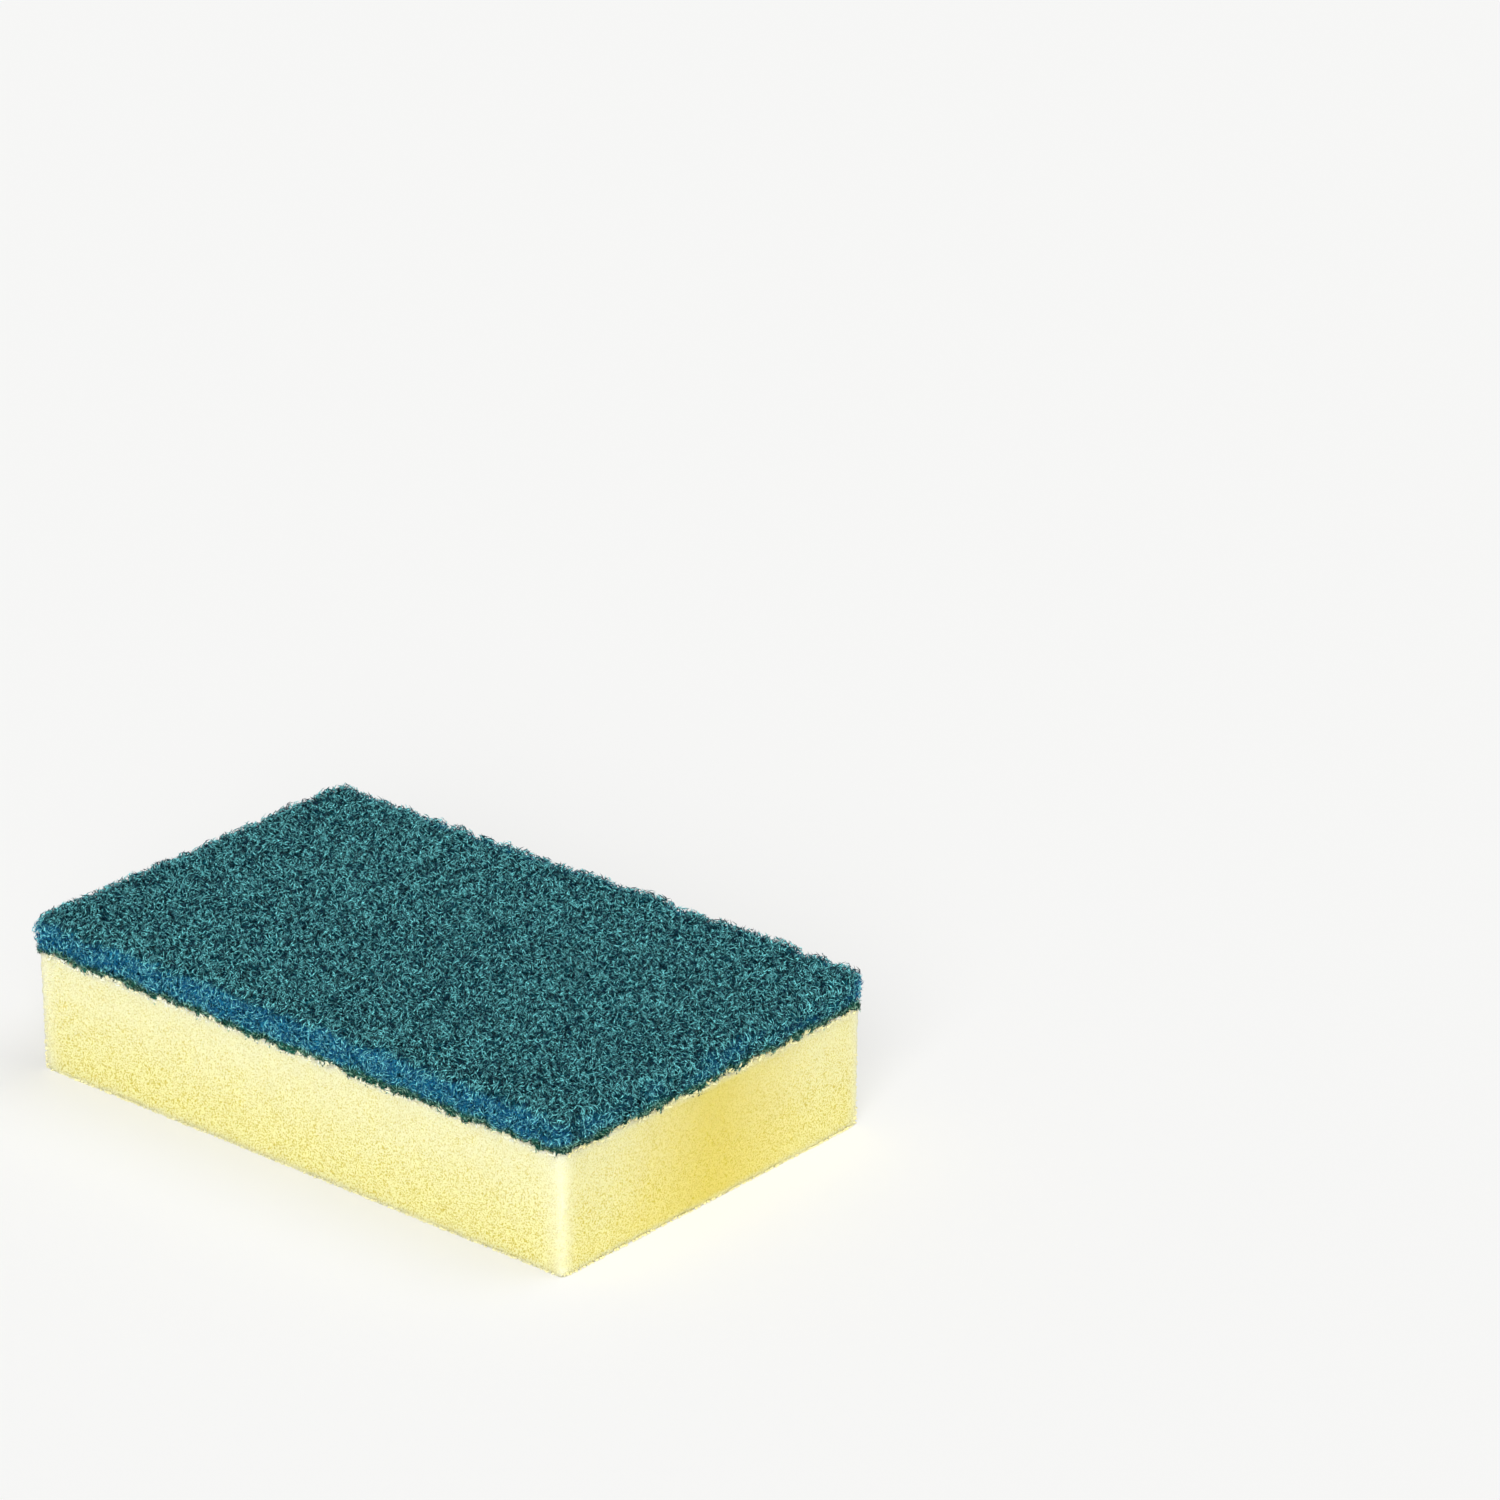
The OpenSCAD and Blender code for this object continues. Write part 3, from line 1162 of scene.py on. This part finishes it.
    def _square_foot(self, made: BMesh, inner: Box) -> None:
        """Undoes the rounding at the bottom, where the pad was glued down flat.

        Args:
            made: The rounded shape to change.
            inner: The box that it fills.
        """
        middle = inner.middle
        half = inner.size / 2
        for vert in made.verts:
            if vert.co.z >= middle.z:
                continue
            below = smoothstep(middle.z, inner.low.z, vert.co.z)
            for axis in (0, 1):
                offset = vert.co[axis] - middle[axis]
                gap = half[axis] - abs(offset)
                if gap < self.roll_radius:
                    vert.co[axis] += math.copysign(min(gap, self.roll_radius * 0.3) * below, offset)

    def _core_share(self, point: Vector) -> float:
        """Works out how much of the bare core shows at a point.

        It shows only near the cut edges, in clumps. The long edges were slit and are bluest. On
        the short ones the blade smeared the resin over most of it.

        Args:
            point: A point of the pad.

        Returns:
            The share, from 0 to 1.
        """
        near_long = smoothstep(3.4 * MM, 1.0 * MM, self.box.high.y - abs(point.y))
        near_short = self.smeared * smoothstep(3.0 * MM, 1.0 * MM, self.box.high.x - abs(point.x))
        under_coat = smoothstep(self.mean_level, self.mean_level - 1.6 * MM, point.z)
        share = max(near_long, near_short) * (0.15 + 0.85 * under_coat)
        clumped = smoothstep(0.25, 0.75, share + summed_noise(point, self.clumps) * share)
        return max(summed_noise(point, self.hues, 0.12), clumped)

    def _glue_share(self, point: Vector) -> float:
        """Says how much glue a point has soaked up: all at the foot, and none 2 mm up."""
        level = point.z - self.box.low.z + 0.7 * MM * scaled_noise(point, 3.0 * MM, 10)
        return smoothstep(1.9 * MM, 0.9 * MM, level)

    def _mark_layers(self, mesh: Mesh) -> None:
        """Writes the core and glue shares of each vertex as attributes.

        Args:
            mesh: The mesh of a piece of the pad.
        """
        places = [Vector(place) for place in vertex_places(mesh)]
        set_attribute(mesh, "core", np.array([self._core_share(place) for place in places]))
        set_attribute(mesh, "glued", np.array([self._glue_share(place) for place in places]))

    def _start(self, lot: FibreLot, draw: np.random.Generator) -> Vector:
        """Picks where one fibre starts.

        Args:
            lot: The lot that it belongs to.
            draw: The random generator.

        Returns:
            A point on the face, on a cut edge or at its foot, near the web's surface.
        """
        low, high = self.box.low, self.box.high
        size = self.box.size
        if lot.zone is PadZone.FACE:
            rim = 0.7 * MM
            third = size.x / 3
            x = draw.uniform(low.x + lot.third * third, low.x + (lot.third + 1) * third)
            x = min(high.x - rim, max(low.x + rim, x))
            return Vector((x, draw.uniform(low.y + rim, high.y - rim), self.mean_level))
        level = draw.uniform(low.z, self.mean_level)
        if lot.zone is PadZone.FOOT:
            level = low.z + draw.uniform(0.0, 0.5) * MM
        along = draw.uniform(0, 2 * (size.x + size.y))
        if along < 2 * size.x:
            side = -1 if along < size.x else 1
            return Vector((low.x + along % size.x, side * high.y, level))
        along -= 2 * size.x
        side = -1 if along < size.y else 1
        return Vector((side * high.x, low.y + along % size.y, level))

    def _fibres(self, lot: FibreLot, tree: BVHTree, seed: int) -> Object:
        """Lays a lot of fibres over the web, each one rising from it and diving back.

        Args:
            lot: The lot to lay.
            tree: The web's surface.
            seed: The seed of their random course.

        Returns:
            The fibres as one piece.
        """
        draw = np.random.default_rng(seed)
        strands = StrandSet(lot.name)
        for _ in range(lot.count):
            points, heights = self._course(self._start(lot, draw), lot.zone, tree, draw)
            tone = smoothstep(*self.fibre_tone, draw.uniform(0.0, 1.0)) ** self.fibre_tone_power
            # Painted shade: a fibre is darker where it lies deeper in the pad
            tints = [tone * smoothstep(-0.2, 0.7, height) for height in heights]
            strands.add_dash(points, self.fibre_radius * draw.uniform(0.75, 1.25), tints)
        piece = strands.sweep()
        self._mark_layers(piece.data)
        piece.data.materials.append(self.fibre_finish)
        return piece

    def _course(
        self,
        start: Vector,
        zone: PadZone,
        tree: BVHTree,
        draw: np.random.Generator,
    ) -> tuple[list[Vector], list[float]]:
        """Works out the course of one fibre: straight or a slight bow, along the web's surface.

        Args:
            start: Where it starts.
            zone: The part of the pad that it starts on.
            tree: The web's surface.
            draw: The random generator.

        Returns:
            Its three points, and how high each lies, in thicknesses of the fibre layer.
        """
        low = self.box.low.z
        place, normal, _, _ = tree.find_nearest(start)
        way = Vector(draw.normal(0, 1, 3))
        if zone is PadZone.FOOT:
            way.z = -abs(way.z) - 0.5
        bend = draw.normal(0, self.crimp)
        stride = self.step * draw.uniform(0.75, 1.3)
        peak = draw.uniform(0.0, 1.0)
        bow = draw.uniform(0.3, 1.0) if draw.random() < self.bowed_share else 0.0
        lean = draw.normal(0, self.lean)
        stray = draw.random() < self.stray_share * (0.5 if zone is PadZone.FACE else 1.0)
        seam = low + seam_rise(place.x, place.y, low - self.web_drop)
        if zone is PadZone.FOOT:
            place.z += seam - low
        points = []
        heights = []
        for along in (-1, 0, 1):
            height = peak - bow * along**2 + lean * along
            if stray:
                height = peak + 0.4 * (1 + along)
            low_down = smoothstep(2.0 * MM, 0.2 * MM, place.z - low)
            point = place + normal * min(height, 1.5) * self.fibre_layer * (1 - 0.6 * low_down)
            if zone is PadZone.CUT_EDGE:
                point.z = max(point.z, seam + 0.1 * MM)
            points.append(point)
            heights.append(height)
            way -= normal * way.dot(normal)
            if way.length < 1e-6:
                way = normal.orthogonal()
            way.normalize()
            way.rotate(Quaternion(normal, bend))
            if zone is PadZone.FOOT:
                place = place + way * stride * 0.6
                continue
            if place.z < low and way.z < 0:
                way.z = -way.z
            place, normal, _, _ = tree.find_nearest(place + way * stride)
        return points, heights


@dataclass
class GlueLayer:
    """The film of glue between foam and pad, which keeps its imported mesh."""

    node: Object
    finish: Material

    def dress(self) -> None:
        """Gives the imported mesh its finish."""
        glue = self.node
        glue.data.materials.clear()
        glue.data.materials.append(self.finish)
        report(glue)


@dataclass
class Studio:
    """The floor, the lamps and the camera."""

    paper: StudioPaper = StudioPaper()
    floor_side: float = 12.0
    floor_drop: float = 0.02 * MM
    sky_strength: float = 0.3
    key_strength: float = 2.34
    key_spread_deg: float = 35.0
    key_towards: tuple[float, float, float] = (0.412, -0.61, 0.38)
    top_strength: float = 1.07
    top_spread_deg: float = 40.0
    top_towards: tuple[float, float, float] = (0.35, 0.35, 1.0)
    azimuth_deg: float = 40.717
    elevation_deg: float = 23.207
    roll_deg: float = 0.045
    camera_mm: tuple[float, float, float] = (672.5, -709.1, 477.1)
    focal_px: float = 6958.9
    picture_px: int = 1500
    sensor_mm: float = 36.0
    nearest: float = 0.01
    farthest: float = 100.0

    def build(self) -> None:
        """Builds the floor, the sky, both lamps and the camera."""
        self._floor()
        self._world()
        self._sun("key_lamp", self.key_strength, self.key_spread_deg, self.key_towards)
        self._sun("top_lamp", self.top_strength, self.top_spread_deg, self.top_towards)
        self._camera()
        bpy.context.scene.view_settings.view_transform = "Standard"

    def _floor(self) -> None:
        """Lays the pale floor just under the sponge."""
        made = bmesh.new()
        down = Matrix.Translation((0, 0, -self.floor_drop))
        bmesh.ops.create_grid(made, x_segments=1, y_segments=1, size=self.floor_side / 2, matrix=down)
        floor = to_object(made, "studio_floor", smooth=False)
        floor.data.materials.append(self.paper.material())

    def _world(self) -> None:
        """Makes an even pale sky: a fill on the sponge, and the paper's tone where it is seen."""
        world = bpy.data.worlds.new("soft_sky")
        bpy.context.scene.world = world
        world.use_nodes = True
        tree = world.node_tree
        tree.nodes.clear()
        seen = add_node(tree, "ShaderNodeLightPath", output="Is Camera Ray")
        for kind in ("Is Glossy Ray", "Is Transmission Ray"):
            ray = add_node(tree, "ShaderNodeLightPath", output=kind)
            seen = add_node(tree, "ShaderNodeMath", {0: seen, 1: ray}, operation="MAXIMUM")
        fill = add_node(
            tree, "ShaderNodeBackground", {"Color": (1, 1, 1, 1), "Strength": self.sky_strength}
        )
        paper = add_node(
            tree, "ShaderNodeBackground", {"Color": linear_rgba(self.paper.seen_tone), "Strength": 1.0}
        )
        both = add_node(tree, "ShaderNodeMixShader", {0: seen, 1: fill, 2: paper})
        add_node(tree, "ShaderNodeOutputWorld", {"Surface": both})

    def _sun(self, name: str, strength: float, spread_deg: float, towards: Sequence[float]) -> None:
        """Adds a soft lamp that lights the whole floor evenly.

        Args:
            name: The lamp's name.
            strength: Its strength.
            spread_deg: How wide it looks from the sponge, which softens its shadow.
            towards: The direction from the sponge to the lamp.
        """
        lamp = bpy.data.lights.new(name, "SUN")
        lamp.energy = strength
        lamp.angle = math.radians(spread_deg)
        holder = bpy.data.objects.new(name, lamp)
        holder.rotation_mode = "QUATERNION"
        holder.rotation_quaternion = Vector(towards).to_track_quat("Z", "Y")
        holder.location = Vector(towards)
        bpy.context.scene.collection.objects.link(holder)

    def _camera(self) -> None:
        """Sets the camera where the photograph was taken from."""
        lens = bpy.data.cameras.new("camera")
        lens.sensor_fit = "HORIZONTAL"
        lens.sensor_width = self.sensor_mm
        lens.lens = self.focal_px / self.picture_px * self.sensor_mm
        lens.clip_start = self.nearest
        lens.clip_end = self.farthest
        camera = bpy.data.objects.new("camera", lens)
        azimuth = math.radians(self.azimuth_deg)
        elevation = math.radians(self.elevation_deg)
        back = Vector((
            math.sin(azimuth) * math.cos(elevation),
            -math.cos(azimuth) * math.cos(elevation),
            math.sin(elevation),
        ))
        level = (-back).to_track_quat("-Z", "Y")
        roll = Quaternion((0, 0, 1), math.radians(-self.roll_deg))
        camera.rotation_mode = "QUATERNION"
        camera.rotation_quaternion = level @ roll
        camera.location = Vector(self.camera_mm) * MM
        bpy.context.scene.collection.objects.link(camera)
        bpy.context.scene.camera = camera


def report(piece: Object) -> None:
    """Logs a piece's name and how many triangles it has."""
    triangles = sum(len(face.vertices) - 2 for face in piece.data.polygons)
    LOG.info("%s: %d triangles", piece.name, triangles)


def dress(pieces: Sequence[Object], replaced: str) -> None:
    """Binds the pieces that stand for one node to the frame, and reports them.

    Args:
        pieces: The pieces, of which the first is the foam or padded body.
        replaced: The node.
    """
    for k, piece in enumerate(pieces):
        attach(piece, BODY)
        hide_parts(replaced)
        report(piece)


def main() -> None:
    """Builds the studio and the sponge."""
    logging.basicConfig(level=logging.INFO, format="%(name)s: %(message)s")
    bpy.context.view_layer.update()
    Studio().build()
    FoamBlock(Box.of_node("foam_block"), KnifeCutFoam().material(), TornCellWalls().material()).build()
    web = BondedFibre(
        name="resin_bonded_web",
        coat="#1a636b",
        # The near-black tones paint the shade in the gaps of the web
        coat_dark="#010f13",
        core="#2e8eb4",
        core_dark="#03242f",
        glued="#3a8470",
        glued_dark="#062a23",
        roughness=0.9,
        gloss=0.03,
        drawn_mm=0.5,
    )
    ScouringPad(Box.of_node("scouring_pad"), web.material(), BondedFibre().material()).build()
    GlueLayer(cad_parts["glue_layer"], DriedGlue().material()).dress()


if __name__ == "__main__":
    main()
